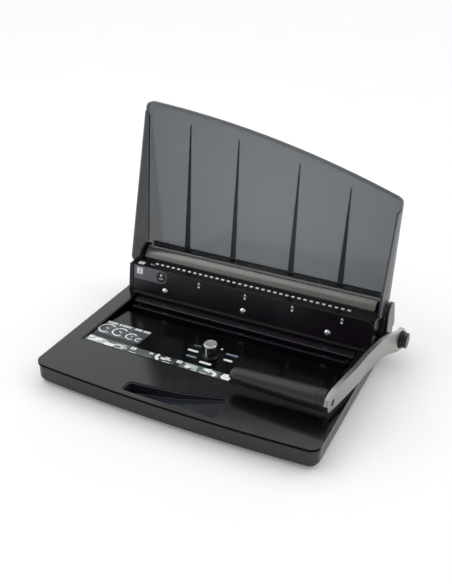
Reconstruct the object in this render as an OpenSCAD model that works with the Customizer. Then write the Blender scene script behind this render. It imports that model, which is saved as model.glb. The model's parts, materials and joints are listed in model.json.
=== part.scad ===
// Desktop punch and wire-binding machine: a flat base with a sunken bed, a punch
// housing across the back, a hinged clear lid and one long side lever.
// Origin: on the table, below the middle of the hook row. +X right, +Y back, +Z up.

/* [Base] */
// Half the width of the base
half_w = 184; // [183:0.5:186]
// Front edge of the base, at the middle
front_y = -230; // [-235:1:-228]
// Back edge of the base
rear_y = 66; // [66:1:72]
// Height of the rubber feet
foot_h = 4; // [3:0.5:4]
// Radius of the slow curve of the front edge
front_arc_r = 2400; // [2000:100:4000]
// Radius of the front corners
corner_r = 13; // [8:1:16]

/* [Punch] */
// Number of holes punched in a sheet
hole_count = 34; // [20:1:34]
// Width of a square punch pin
pin_w = 3.9; // [3.5:0.1:4]
// Height of the punch housing's top above the table
punch_top_z = 70; // [70:0.5:70.5]

/* [Lid] */
// Half the outer width of the lid
lid_half_w = 179.5; // [179:0.1:179.6]
// Lean of the open lid, backwards from upright
lid_lean = 5.05; // [4:0.05:6]
// Thickness of the lid's panel
lid_t = 2.4; // [2:0.1:2.4]

/* [Lever] */
// Thickness of the lever arm
arm_t = 5.4; // [5:0.1:5.4]
// Length of the grip
grip_len = 114; // [90:1:115]
// Radius of the lever's drive shaft
shaft_r = 5; // [4:0.25:5]

/* [Hidden] */
$fn = 64;
fine = 240;
eps = 0.5;

black = [0.05, 0.05, 0.06];
dark = [0.12, 0.12, 0.14];
steel = [0.7, 0.71, 0.73];

// Base shell: deck_z is the deck's top above the table
deck_z = 30;
pan_inset = 1.2;
pan_wall = 2.4;
pan_top_z = 25.4;
deck_t = 3;
rim_z = 26.4;
tuck = 2.6;
tuck_z = 8;
bed_half_w = 163;
bed_front_y = -155;
bed_rear_y = -60;
bed_front_z = 29.6;
bed_rear_z = 22.6;
mech_front_y = -21;
well_half_w = 168.6;
well_rear_y = 60;

// Shaft, cranks and strokes
shaft_y = 22;
shaft_z = 34;
crank_throw = 9.5;
crank_swing = 70;
crank_pin_r = 2.5;
slot_half = 2.85;
frame_x = 164;
frame_t = 3;
bush_r = 8;
fit = 0.05;
fork_in = 149;
fork_out = 155;
crank_in = 156;
crank_out = 161;

// Punch unit: pitch is the distance between holes, three to an inch
pitch = 25.4 / 3;
pin_z = 49;
die_y = 5.8;
die_t = 3.8;
guide_y = 14;
guide_t = 4.5;
plate_half = 146;
pin_tip_y = 5.4;
bar_y = 30;
bar_t = 8;
row_x0 = -(hole_count - 1) * pitch / 2;

// Front panel: a sheet leaning back from its foot to its top edge
foot_y = -19;
foot_z = 31.6;
panel_top_y = -12.9;
panel_lean = atan((panel_top_y - foot_y) / (punch_top_z - 0.1 - foot_z));
panel_h = (punch_top_z - 0.1 - foot_z) / cos(panel_lean);
panel_t = 1.5;
panel_x0 = -169.5;
panel_x1 = 176;

// Cheeks and towers
cheek_in = 170.2;
cheek_out = 176.5;
tower_in = 180.2;
tower_out = 184.5;

// Lid: local x across, local y up along the panel from the rib line
rib_line = [41.8, 80.3];
hinge = [33, 77.5];
hinge_pin_r = 3;
hinge_boss_r = 5.3;
lid_arc = [-268.4, -1161.5];
lid_arc_r = 1367;
lid_corner_r = 9;
lid_tail = -17;
lid_wall = 2.2;
wall_root = 43;
wall_fall = 0.18;

// Dial and closer
dial_x = 0.5;
dial_y = -111;
dial_z = 27.2;
cam_r = 10;
cam_offset = 4;
bar_front_y = -46;
closer_t = 6;
jaw_y = -33;

// Lever grip
grip_y = -162;
grip_z = 50;
grip_x1 = 166.5;

// ---- helpers ----

function unit(v) = v / norm(v);

// Fillet points for a polygon's corner at b, between a and c
function fillet(a, b, c, r, n) =
  let (u = unit(a - b), v = unit(c - b), half = acos(u * v) / 2,
       d = r / tan(half), m = b + unit(u + v) * r / sin(half),
       p = b + u * d - m, q = b + v * d - m,
       a0 = atan2(p[1], p[0]), turn = (atan2(q[1], q[0]) - a0 + 540) % 360 - 180)
  [for (i = [0:n]) m + r * [cos(a0 + turn * i / n), sin(a0 + turn * i / n)]];

function rounded(pts, r, n = 5) =
  [for (i = [0:len(pts) - 1])
    each fillet(pts[(i + len(pts) - 1) % len(pts)], pts[i], pts[(i + 1) % len(pts)], r, n)];

// Closed outline of a bent sheet that follows pts, with its thickness on the left
function left_of(v) = [-v[1], v[0]];
function sheet_side(pts, t) =
  [for (i = [0:len(pts) - 1])
    let (u = i == 0 ? unit(pts[1] - pts[0]) : unit(pts[i] - pts[i - 1]),
         v = i == len(pts) - 1 ? u : unit(pts[i + 1] - pts[i]),
         m = unit(left_of(u) + left_of(v)))
    pts[i] + m * t / (m * left_of(u))];
function reversed(v) = [for (i = [len(v) - 1:-1:0]) v[i]];
function sheet(pts, t) = concat(pts, reversed(sheet_side(pts, t)));

// Plate with straight sides and base, an arc along its top and round top corners
module arched_plate(x0, x1, base_y, centre, arc_r, r) {
  difference() {
    intersection() {
      translate([x0, base_y]) square([x1 - x0, 2 * arc_r]);
      translate(centre) circle(r = arc_r, $fn = fine);
    }
    for (side = [-1, 1]) arched_corner(side, side < 0 ? x0 + r : x1 - r, centre, arc_r, r);
  }
}
module arched_corner(side, cx, centre, arc_r, r) {
  c = [cx, centre[1] + sqrt(pow(arc_r - r, 2) - pow(cx - centre[0], 2))];
  out = unit(c - centre);
  difference() {
    polygon([c, c + 3 * r * out, c + [side * 3 * r, 3 * r], c + [side * 3 * r, 0]]);
    translate(c) circle(r = r);
  }
}
// Outline of the base in plan, drawn in by inset
module base_outline(inset) {
  mirror([0, 1]) arched_plate(-half_w + inset, half_w - inset, -rear_y + inset,
    [0, -front_y - front_arc_r], front_arc_r - inset, corner_r - inset);
}
// Extrude a (y, z) profile along x from x0 to x1
module along_x(x0, x1) {
  translate([x0, 0, 0]) rotate([90, 0, 90]) linear_extrude(x1 - x0) children();
}
module x_rod(x0, x1, r) {
  translate([x0, 0, 0]) rotate([0, 90, 0]) cylinder(r = r, h = x1 - x0);
}
module box(lo, hi) {
  translate(lo) cube(hi - lo);
}
module at_shaft() {
  translate([0, shaft_y, shaft_z]) children();
}
// Local frame of the front panel: x across, y up the sheet, z out of its face
module on_panel(x, up) {
  translate([x, foot_y, foot_z]) rotate([90 - panel_lean, 0, 0]) translate([0, up, 0]) children();
}
// Local frame of the open lid: x across, y up the panel, z forward from its outer face
module on_lid() {
  translate([0, rib_line[0], rib_line[1]]) rotate([90 - lid_lean, 0, 0]) children();
}

// ---- base ----

boss_at = [[-132, -195], [132, -195], [-172, -90], [172, -90], [-172, 45], [172, 45]];
module base_pan() {
  color(dark) difference() {
    union() {
      difference() {
        union() {
          translate([0, 0, foot_h]) linear_extrude(tuck_z - foot_h)
            base_outline(pan_inset + tuck);
          translate([0, 0, tuck_z]) linear_extrude(pan_top_z - tuck_z) base_outline(pan_inset);
        }
        translate([0, 0, foot_h + 2.4]) linear_extrude(4)
          base_outline(pan_inset + tuck + pan_wall);
        translate([0, 0, foot_h + 6.3]) linear_extrude(deck_z) base_outline(pan_inset + pan_wall);
      }
      for (p = boss_at) translate([p[0], p[1], foot_h]) cylinder(r = 4, h = deck_z - deck_t - foot_h);
    }
    for (p = boss_at) translate([p[0], p[1], foot_h - eps]) cylinder(r = 1.75, h = 16);
    box([-144.5, rear_y - 10, 7.4], [144.5, rear_y + 1, 24.6]);
  }
}

recess_pts = rounded([[-59, -223.6], [-59, -205.2], [4, -197], [61, -181], [63.5, -188],
  [63.5, -223.6]], 5);
module deck_cover() {
  color(black) difference() {
    translate([0, 0, rim_z]) linear_extrude(deck_z - rim_z) base_outline(0);
    translate([0, 0, rim_z - eps]) linear_extrude(deck_z - deck_t - rim_z + eps)
      base_outline(pan_wall);
    box([-bed_half_w, bed_front_y, rim_z - eps], [bed_half_w, mech_front_y, deck_z + eps]);
    translate([0, 0, rim_z - eps]) linear_extrude(6) polygon(recess_pts);
    box([-well_half_w, mech_front_y + 3, rim_z - eps], [well_half_w, well_rear_y, deck_z + eps]);
    at_shaft() x_rod(-half_w - 1, half_w + 1, shaft_r + 1.5);
  }
}

module carry_recess() {
  floor_slope = atan(12 / 120);
  color([0.16, 0.18, 0.22]) difference() {
    intersection() {
      translate([0, 0, 11]) linear_extrude(deck_z - 0.6 - 11)
        polygon(rounded([[-58.7, -223.3], [-58.7, -205.5], [4, -197.3], [60.8, -181.4],
          [63.2, -188], [63.2, -223.3]], 4.7));
      translate([-62, -240, 12]) rotate([0, -floor_slope, 0]) cube([140, 80, 40]);
    }
    intersection() {
      translate([0, 0, 12]) linear_extrude(20)
        polygon(rounded([[-57, -221.6], [-57, -207], [4, -199], [59.6, -183.6],
          [61.5, -188.6], [61.5, -221.6]], 3.6));
      translate([-62, -240, 14]) rotate([0, -floor_slope, 0]) cube([140, 80, 40]);
    }
  }
}

module bed_tray() {
  t = 2;
  x = bed_half_w - 0.2;
  color(black) difference() {
    union() {
      along_x(-x, x) polygon(sheet([[bed_rear_y, bed_rear_z - 8], [bed_rear_y, bed_rear_z],
        [bed_front_y + 0.2, bed_front_z]], t));
      for (side = [-1, 1]) along_x(side < 0 ? -x : x - t, side < 0 ? -x + t : x)
        polygon([[bed_rear_y, bed_rear_z - t], [bed_front_y + 2, bed_front_z - t],
          [bed_front_y + 2, bed_front_z], [mech_front_y - 1.5, bed_front_z],
          [mech_front_y - 1.5, bed_rear_z - t]]);
    }
    translate([dial_x, dial_y, 10]) cylinder(r = 3.4, h = 30);
  }
}

// Four corner feet, and one below the middle of the punch row that takes the punching load
foot_at = [[-160, -200], [160, -200], [-160, 40], [160, 40], [0, 0]];
foot_r = 9;
module rubber_feet() {
  color([0.1, 0.1, 0.1]) for (p = foot_at) translate(p) cylinder(r = foot_r, h = foot_h);
}

module base_screws() {
  color(steel) for (p = boss_at) translate([p[0], p[1], foot_h - 1.6]) {
    cylinder(r = 3.4, h = 1.6);
    translate([0, 0, 1.5]) cylinder(r = 1.65, h = 14);
  }
}

// ---- punch unit ----

module side_frame(x0) {
  color(steel) difference() {
    along_x(x0, x0 + frame_t) polygon([[-12, 7.5], [52, 7.5], [52, 50], [46, 57.5],
      [-8, 57.5]]);
    at_shaft() x_rod(x0 - 1, x0 + frame_t + 1, bush_r + fit);
  }
}
module left_side_frame() {
  side_frame(-frame_x - frame_t);
}
module right_side_frame() {
  side_frame(frame_x);
}

module bush(x0) {
  color([0.75, 0.6, 0.3]) at_shaft() difference() {
    union() {
      x_rod(x0, x0 + frame_t + 1.2, bush_r);
      x_rod(x0 + frame_t + 0.05, x0 + frame_t + 1.6, bush_r + 1.6);
    }
    x_rod(x0 - 1, x0 + frame_t + 4, shaft_r + fit);
  }
}
module left_bush() {
  mirror([1, 0, 0]) bush(frame_x);
}
module right_bush() {
  bush(frame_x);
}

// Plate with a row of square holes, and ears that reach the side frames above the forks
module holed_plate(y0, t, hole_w, low_z) {
  difference() {
    union() {
      box([-plate_half, y0, low_z], [plate_half, y0 + t, 61]);
      box([-frame_x, y0, 56], [frame_x, y0 + t, 61]);
    }
    for (i = [0:hole_count - 1])
      translate([row_x0 + i * pitch - hole_w / 2, y0 - 1, pin_z - hole_w / 2])
        cube([hole_w, t + 2, hole_w]);
  }
}
module die_plate() {
  color(steel) holed_plate(die_y, die_t, pin_w + 0.2, 40);
}
module punch_guide() {
  color(steel) holed_plate(guide_y, guide_t, pin_w + 0.2, 40);
}
module paper_stop() {
  color(dark) box([-plate_half, die_y + die_t, 40], [plate_half, guide_y, 44.2]);
}
module edge_stop() {
  color(dark) box([-147.5, die_y + die_t + 0.1, 56.2], [-144.6, guide_y - 0.1, 68]);
}

module punch_pins() {
  color([0.8, 0.8, 0.82]) for (i = [0:hole_count - 1])
    translate([row_x0 + i * pitch - pin_w / 2, pin_tip_y, pin_z - pin_w / 2])
      cube([pin_w, bar_y - pin_tip_y, pin_w]);
}

// Bar that drives the pins, with a fork at each end for the crank pins
top_pin_y = shaft_y - crank_throw * sin(crank_swing / 2);
fork_low_z = shaft_z + shaft_r + 0.4;
fork_top_z = shaft_z + crank_throw + crank_pin_r + 0.4;
module pressure_bar() {
  color(steel) union() {
    box([-fork_out, bar_y, 44], [fork_out, bar_y + bar_t, 54]);
    for (side = [-1, 1]) along_x(side < 0 ? -fork_out : fork_in, side < 0 ? -fork_in : fork_out)
      difference() {
        polygon([[top_pin_y - 5.5, fork_low_z], [top_pin_y + 6, fork_low_z],
          [top_pin_y + 6, fork_top_z], [bar_y + 1, fork_top_z], [bar_y + 1, 54],
          [top_pin_y - 5.5, 54]]);
        polygon([[top_pin_y - slot_half, fork_low_z - 1], [top_pin_y + slot_half, fork_low_z - 1],
          [top_pin_y + slot_half, fork_top_z], [top_pin_y - slot_half, fork_top_z]]);
      }
  }
}

// ---- shaft, cranks and wire closer ----

module drive_shaft() {
  color(steel) at_shaft() x_rod(-170, 206, shaft_r);
}
module crank(x0) {
  color(dark) at_shaft() difference() {
    x_rod(x0, x0 + crank_out - crank_in, 13);
    x_rod(x0 - 1, x0 + 10, shaft_r + fit);
  }
}
module left_crank() {
  crank(-crank_out);
}
module right_crank() {
  crank(crank_in);
}
module crank_pins() {
  half = crank_swing / 2;
  color(steel) for (side = [-1, 1]) for (end = [-1, 1])
    translate([0, shaft_y - end * crank_throw * sin(half), shaft_z + end * crank_throw * cos(half)])
      x_rod(side < 0 ? -crank_in : fork_in - 0.5, side < 0 ? -fork_in + 0.5 : crank_in, crank_pin_r);
}

low_pin_y = shaft_y + crank_throw * sin(crank_swing / 2);
link_z0 = 12;
link_z1 = 18;
prong_z = shaft_z - shaft_r - 0.4;
module closer_links() {
  color(steel) for (side = [-1, 1])
    along_x(side < 0 ? -fork_out + 1 : fork_in + 1, side < 0 ? -fork_in - 1 : fork_out - 1)
      difference() {
        polygon([[bar_front_y + closer_t, link_z0], [low_pin_y + 7, link_z0],
          [low_pin_y + 7, prong_z], [low_pin_y - 7, prong_z], [low_pin_y - 7, link_z1],
          [bar_front_y + closer_t, link_z1]]);
        polygon([[low_pin_y - slot_half, link_z1 + 2], [low_pin_y + slot_half, link_z1 + 2],
          [low_pin_y + slot_half, prong_z + 1], [low_pin_y - slot_half, prong_z + 1]]);
      }
}
module closing_bar() {
  color(black) along_x(-fork_out, fork_out)
    polygon([[bar_front_y, link_z0], [bar_front_y + closer_t, link_z0],
      [bar_front_y + closer_t, 22.4], [bar_front_y + closer_t - 1.2, 23.6],
      [bar_front_y, 23.6]]);
}
module fixed_jaw() {
  color(black) along_x(-160, 160)
    polygon([[jaw_y, 18.6], [jaw_y + 2, 18.6], [-22, 18.6], [-22, 27], [jaw_y + 1, 25.4],
      [jaw_y, 24.4]]);
}
module size_stop_plate() {
  reach = cam_r + cam_offset;
  color(steel) difference() {
    box([-24, dial_y - reach - 8, 12], [24, bar_front_y, 14]);
    box([-17, dial_y - reach - 0.6, 11], [17, dial_y + reach + 13.5, 15]);
  }
}

// ---- size dial ----

module at_dial(z) {
  translate([dial_x, dial_y, z]) children();
}
module size_dial_body() {
  color(black) at_dial(dial_z) difference() {
    cylinder(r = 7.5, h = 15);
    for (a = [0:30:330]) rotate([0, 0, a]) translate([8.1, 0, 1.5]) cylinder(r = 1.1, h = 20);
    translate([0, 0, -1]) cylinder(r = 3 + fit, h = 8);
  }
}
module size_dial_cap() {
  color([0.85, 0.85, 0.86]) at_dial(dial_z + 15) union() {
    cylinder(r = 8.6, h = 2);
    translate([0, 0, 2]) cylinder(r1 = 8.6, r2 = 7.8, h = 0.8);
  }
}
module dial_shaft() {
  color(steel) at_dial(9) cylinder(r = 3, h = dial_z + 6.5 - 9);
}
module dial_stop_cam() {
  color(dark) difference() {
    translate([dial_x, dial_y + cam_offset, 11.5]) cylinder(r = cam_r, h = 3);
    at_dial(10) cylinder(r = 3 + fit, h = 6);
  }
}

// ---- punch housing ----

module punch_front_panel() {
  top = punch_top_z - 0.1;
  back = panel_t / cos(panel_lean);
  color([0.07, 0.06, 0.08]) difference() {
    along_x(panel_x0, panel_x1)
      polygon([[foot_y - 3, deck_z + 0.1], [foot_y + back, deck_z + 0.1], [foot_y + back, foot_z],
        [panel_top_y + back, top], [panel_top_y, top], [foot_y, foot_z], [foot_y - 3, foot_z]]);
    translate([panel_x1, -30, top]) rotate([-90, 0, 0]) linear_extrude(40)
      polygon([[1, -1], [-6, -1], [-6, 1.2], [-4, 1.2], [1, 4.7]]);
  }
}
screw_x = [-118.5, 0.5, 119];
module front_screws() {
  color([0.85, 0.85, 0.87]) for (x = screw_x) on_panel(x, 10)
    intersection() {
      translate([0, 0, -3.4]) sphere(r = 5.4);
      translate([0, 0, 0.02]) cylinder(r = 6, h = 4);
    }
}
label_t = 0.25;
module front_label() {
  color([0.37, 0.37, 0.41]) on_panel(panel_x0, panel_h - 19.5) linear_extrude(label_t) {
    translate([0.5, 0]) square([43, 19]);
    translate([43.5, 9.5]) circle(r = 9.5);
  }
}
module panel_marks() {
  color([0.9, 0.9, 0.9]) for (x = [-67, 1.6, 68.6, 135.5]) on_panel(x, panel_h - 9)
    linear_extrude(label_t) {
      translate([0, -1.6]) circle(r = 1.3);
      polygon([[-1.5, 1.2], [1.5, 1.2], [0, 4.2]]);
    }
}

module punch_top_cover() {
  color(black) difference() {
    along_x(-170, 170)
      polygon(reversed(sheet([[-11.2, punch_top_z], [6.6, punch_top_z], [9.3, punch_top_z - 2.8],
        [9.3, 61.4]], -1.8)));
    for (i = [0:hole_count - 1])
      translate([row_x0 + i * pitch - 2.9, -1.2, punch_top_z - 5]) cube([5.8, 2, 8]);
  }
}
module wire_hooks() {
  color([0.85, 0.86, 0.88]) union() {
    box([row_x0 - 5, -0.8, 56], [-row_x0 + 5, 0.4, 62]);
    for (i = [0:hole_count - 1]) translate([row_x0 + i * pitch, 0, 0]) {
      box([-2.5, -0.8, 61.5], [2.5, 0.4, punch_top_z + 1.2]);
      box([-2.5, -0.8, punch_top_z + 0.4], [2.5, 2.4, punch_top_z + 1.4]);
    }
  }
}
module paper_guide() {
  color([0.5, 0.5, 0.52]) along_x(-168.6, 168.6)
    polygon(sheet([[14.2, 61.4], [14.2, 68], [15.4, 72], [18, 75.6], [21.4, 78.4], [25, 80],
      [28.4, 79.2], [31.4, 75.4], [33.2, 69], [34, 61.4]], -1.6));
}

// Side plate of the punch housing, cut to clear the open lid behind it
module cheek(x0, front) {
  color(black) difference() {
    along_x(x0, x0 + cheek_out - cheek_in)
      polygon([front[0], front[1], [36.4, punch_top_z], [36.4, 61], [56, 60.4], [63.4, 30.1]]);
    at_shaft() x_rod(x0 - 1, x0 + 12, shaft_r + 1.5);
  }
}
module left_cheek() {
  cheek(-cheek_out, [[foot_y, deck_z + 0.1], [panel_top_y, punch_top_z]]);
}
module right_cheek() {
  cheek(cheek_in, [[foot_y + 3.6, deck_z + 0.1], [panel_top_y + 2.6, punch_top_z]]);
}

module hinge_bracket(x0) {
  color(black) difference() {
    union() {
      along_x(x0, x0 + 5.8) polygon([[24, punch_top_z], [36.4, punch_top_z], [38, 75.5], [33, 77.5],
        [27.8, 78.5]]);
      translate([0, hinge[0], hinge[1]]) x_rod(x0, x0 + 5.8, hinge_boss_r);
    }
    translate([0, hinge[0], hinge[1]]) x_rod(x0 - 1, x0 + 8, hinge_pin_r);
  }
}
module left_hinge_bracket() {
  hinge_bracket(-cheek_in - 5.8);
}
module right_hinge_bracket() {
  hinge_bracket(cheek_in);
}
module lid_pins() {
  color(steel) for (side = [-1, 1]) translate([0, hinge[0], hinge[1]])
    x_rod(side < 0 ? -179.9 : cheek_in, side < 0 ? -cheek_in : 179.9, hinge_pin_r);
}

// End tower outside the lid's side wall, with a round head
module tower(x0) {
  color(dark) difference() {
    along_x(x0, x0 + tower_out - tower_in)
      union() {
        polygon([[25, 30.1], [64.6, 30.1], [53, 64], [25, 64]]);
        translate([39, 59.2]) circle(r = 13.9);
      }
    at_shaft() x_rod(x0 - 1, x0 + 8, shaft_r + 1.5);
  }
}
module left_tower() {
  tower(-tower_out);
}
module right_tower() {
  tower(tower_in);
}

rear_screw_x = [-140, 0, 140];
module rear_cover() {
  color(black) difference() {
    along_x(-cheek_in + 0.2, cheek_in - 0.2)
      polygon(reversed(sheet([[34.4, 60.6], [56, 60.6], [64.2, deck_z - 3]], -2)));
    box([-cheek_out, well_rear_y - 10, 20], [cheek_out, rear_y + 5, deck_z + 0.1]);
    for (x = rear_screw_x) translate([x, 48, 55]) cylinder(r = 1.8, h = 8);
  }
}
module rear_screws() {
  color(steel) for (x = rear_screw_x) translate([x, 48, 0]) {
    translate([0, 0, 60.62]) cylinder(r = 3.2, h = 1.4);
    translate([0, 0, 55.5]) cylinder(r = 1.7, h = 5.2);
  }
}

module chip_tray() {
  x = 143;
  y0 = -14;
  y1 = rear_y - 0.4;
  color(dark) difference() {
    box([-x, y0, 7.6], [x, y1, 23]);
    box([-x + 2, y0 + 2, 9.6], [x - 2, y1 - 3, 25]);
    box([-30, y1 - 2, 11], [30, y1 + 1, 17]);
  }
}

// ---- printed labels on the bed ----

bed_slope = atan((bed_front_z - bed_rear_z) / (bed_rear_y - bed_front_y - 0.2));
module on_bed(x, y) {
  z = bed_front_z - (y - bed_front_y - 0.2) * tan(bed_slope);
  translate([x, y, z + 0.02]) rotate([-bed_slope, 0, 0]) children();
}
module size_chart() {
  color([0.45, 0.47, 0.5]) on_bed(-160.4, -130.5) linear_extrude(label_t) square([68, 35]);
}
module instruction_strip() {
  color([0.5, 0.52, 0.54]) on_bed(-159, -153.4) linear_extrude(label_t) square([205, 14.5]);
}
mark_at = [[-24, -98], [-24, -111], [-19, -124], [2, -130], [24, -111], [23, -97]];
module dial_marks() {
  color([0.85, 0.85, 0.87]) for (p = mark_at) on_bed(p[0], p[1]) linear_extrude(label_t) {
    square([10.4, 4], center = true);
    for (side = [-1, 1]) translate([side * 5.2, 0]) circle(r = 2);
  }
}

// ---- lid ----

rib_x = [-113, -42, 43.5, 113];
side_gap = 13;
cross_rib = 168;
function lid_edge(x) = lid_arc[1] + sqrt(pow(lid_arc_r, 2) - pow(x - lid_arc[0], 2));
function wall_depth(s) = wall_root - wall_fall * s;
module lid_outline(inset) {
  arched_plate(-lid_half_w + inset, lid_half_w - inset, lid_tail, lid_arc, lid_arc_r - inset,
    lid_corner_r - inset);
}
// Side wall: wide at the hinge, narrow at the free edge
module lid_side(x0, x1, top, ear) {
  pts = [[lid_tail - ear, 0], [lid_tail - ear, 18], [lid_tail, 30],
    [lid_tail + 2, 41], [lid_tail + 9, wall_depth(lid_tail + 9)], [top, wall_depth(top)],
    [top, 0]];
  translate([x0, 0, 0]) rotate([90, 0, 90]) linear_extrude(x1 - x0) polygon(pts);
}
module lid() {
  color([0.4, 0.43, 0.47, 0.6]) difference() {
    on_lid() union() {
      linear_extrude(lid_t) lid_outline(0);
      linear_extrude(lid_t + 4) difference() {
        lid_outline(0);
        lid_outline(lid_wall);
        translate([-200, -60]) square([400, 120]);
      }
      lid_side(-lid_half_w, -lid_half_w + lid_wall, lid_edge(-lid_half_w) - side_gap, 0);
      lid_side(lid_half_w - lid_wall, lid_half_w, lid_edge(lid_half_w) - side_gap, 9);
      for (y = [-3, 3]) translate([-cross_rib, y - 1, lid_t - 0.1])
        cube([2 * cross_rib, 2, 1.2]);
      for (x = rib_x) translate([0, 0, lid_t - 0.1]) linear_extrude(1.6)
        polygon([[x - 4, -3], [x + 4, -3], [x + 0.4, lid_edge(x) - 18], [x - 0.4, lid_edge(x) - 18]]);
    }
    translate([0, hinge[0], hinge[1]]) x_rod(-200, 200, hinge_pin_r + fit);
  }
}

// ---- lever ----

hub_r = 15;
hub_x1 = 205;
// Outer face of the arm in plan, from the hub forward to the grip
arm_plan = [[hub_x1, 38], [hub_x1, 14], [204, 9], [201.4, 2], [197.6, -10], [194, -28],
  [191.3, -50], [189, -70], [187.1, -90], [185.6, -105], [182.2, -126], [177.2, -156], [175, -176]];
module lever_arm() {
  color([0.35, 0.35, 0.34]) difference() {
    intersection() {
      linear_extrude(100) polygon(sheet(arm_plan, -arm_t));
      along_x(150, 220) union() {
        translate([shaft_y, shaft_z]) circle(r = hub_r);
        polygon([[22, 49], [9, 52], [-27, 59], [-75, 63.6], [-114, 64], [-153, 63.2],
          [-166, 61.6], [-172, 58], [-174.6, 51], [-173, 44], [-168, 39.6], [-156, 38.6],
          [-120, 38.4], [-76, 37.4], [-25, 31.4], [4, 24], [14, 21], [22, 19.2]]);
      }
    }
    at_shaft() x_rod(190, 215, shaft_r + fit);
    translate([0, grip_y, grip_z]) x_rod(160, 190, 4 + fit);
  }
}
module lever_collar() {
  color(black) at_shaft() difference() {
    x_rod(hub_x1 + 0.02, hub_x1 + 2.6, 12);
    x_rod(hub_x1 - 1, hub_x1 + 1.1, shaft_r + fit);
  }
}
module lever_knob() {
  color(black) at_shaft() union() {
    x_rod(hub_x1 + 2.62, hub_x1 + 7, 10);
    translate([hub_x1 + 7, 0, 0]) rotate([0, 90, 0]) cylinder(r1 = 10, r2 = 8.6, h = 1.4);
  }
}
module grip_rod() {
  color(steel) translate([0, grip_y, grip_z]) x_rod(70, 174, 4);
}
module grip_ring() {
  color(dark) translate([0, grip_y, grip_z]) difference() {
    x_rod(grip_x1 + 0.02, grip_x1 + 2.6, 13);
    x_rod(grip_x1 - 1, grip_x1 + 4, 4 + fit);
  }
}
module lever_grip() {
  x0 = grip_x1 - grip_len;
  color([0.13, 0.14, 0.16]) translate([0, grip_y, grip_z]) difference() {
    rotate([0, 90, 0]) rotate_extrude($fn = fine / 4) polygon(concat(
      [[0, x0]], [for (a = [15:15:90]) [9.4 * sin(a), x0 + 8 * (1 - cos(a))]],
      [[11.4, x0 + 50], [12.4, x0 + 80], [12.8, grip_x1 - 6], [12.2, grip_x1 - 5.4],
       [12.2, grip_x1 - 4.6], [12.9, grip_x1 - 4], [12.9, grip_x1], [0, grip_x1]]));
    x_rod(69, grip_x1 + 1, 4 + fit);
  }
}

base_pan();
deck_cover();
carry_recess();
bed_tray();
rubber_feet();
base_screws();
left_side_frame();
right_side_frame();
left_bush();
right_bush();
die_plate();
punch_guide();
paper_stop();
edge_stop();
wire_hooks();
punch_front_panel();
front_screws();
front_label();
panel_marks();
punch_top_cover();
paper_guide();
left_cheek();
right_cheek();
left_hinge_bracket();
right_hinge_bracket();
lid_pins();
left_tower();
right_tower();
rear_cover();
rear_screws();
fixed_jaw();
size_chart();
instruction_strip();
dial_marks();
chip_tray();
punch_pins();
pressure_bar();
closing_bar();
closer_links();
size_stop_plate();
size_dial_body();
size_dial_cap();
dial_shaft();
dial_stop_cam();
lid();
drive_shaft();
left_crank();
right_crank();
crank_pins();
lever_arm();
lever_collar();
lever_knob();
grip_rod();
lever_grip();
grip_ring();
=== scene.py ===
"""Desktop punch and wire-binding machine: finished surfaces around its solid model.

Lengths are in metres and the frame is the solid model's own: +X right, +Y back, +Z up.
"""

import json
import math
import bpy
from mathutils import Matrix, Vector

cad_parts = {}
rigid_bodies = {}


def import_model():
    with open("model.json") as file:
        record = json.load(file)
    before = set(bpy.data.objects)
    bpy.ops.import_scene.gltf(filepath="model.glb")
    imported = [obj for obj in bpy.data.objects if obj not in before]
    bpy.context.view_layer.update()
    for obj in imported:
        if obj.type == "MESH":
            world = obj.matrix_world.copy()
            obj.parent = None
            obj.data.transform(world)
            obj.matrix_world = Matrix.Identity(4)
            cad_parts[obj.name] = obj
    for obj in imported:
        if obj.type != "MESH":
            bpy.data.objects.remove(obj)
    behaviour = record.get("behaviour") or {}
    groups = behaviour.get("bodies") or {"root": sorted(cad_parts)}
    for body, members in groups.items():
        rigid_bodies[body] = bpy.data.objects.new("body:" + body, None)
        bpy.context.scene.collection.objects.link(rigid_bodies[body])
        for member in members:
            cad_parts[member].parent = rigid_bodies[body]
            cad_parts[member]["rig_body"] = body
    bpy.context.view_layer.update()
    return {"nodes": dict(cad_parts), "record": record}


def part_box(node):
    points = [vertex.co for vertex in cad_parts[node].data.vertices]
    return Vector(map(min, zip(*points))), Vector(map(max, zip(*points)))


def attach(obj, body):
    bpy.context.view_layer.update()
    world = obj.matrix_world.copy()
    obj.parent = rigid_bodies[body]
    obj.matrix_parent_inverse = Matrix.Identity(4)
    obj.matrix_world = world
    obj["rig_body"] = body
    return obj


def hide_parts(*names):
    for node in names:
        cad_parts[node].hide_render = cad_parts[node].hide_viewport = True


bl_info = {
    "name": "Wire Binding Machine",
    "version": (1, 0, 0),
    "blender": (4, 5, 0),
    "location": "3D View > Sidebar > Binder",
    "description": "Builds a desktop punch and wire-binding machine around its solid model",
    "category": "Add Mesh",
}

import bmesh
import bpy
from bpy.props import FloatProperty, FloatVectorProperty, IntProperty, PointerProperty
from mathutils import Matrix, Vector

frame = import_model()

MM = 0.001
SLOT_OF = {part["node"]: part["material_slot"] for part in frame["record"]["subparts"]}
finishes = {}
groups = {}

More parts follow.
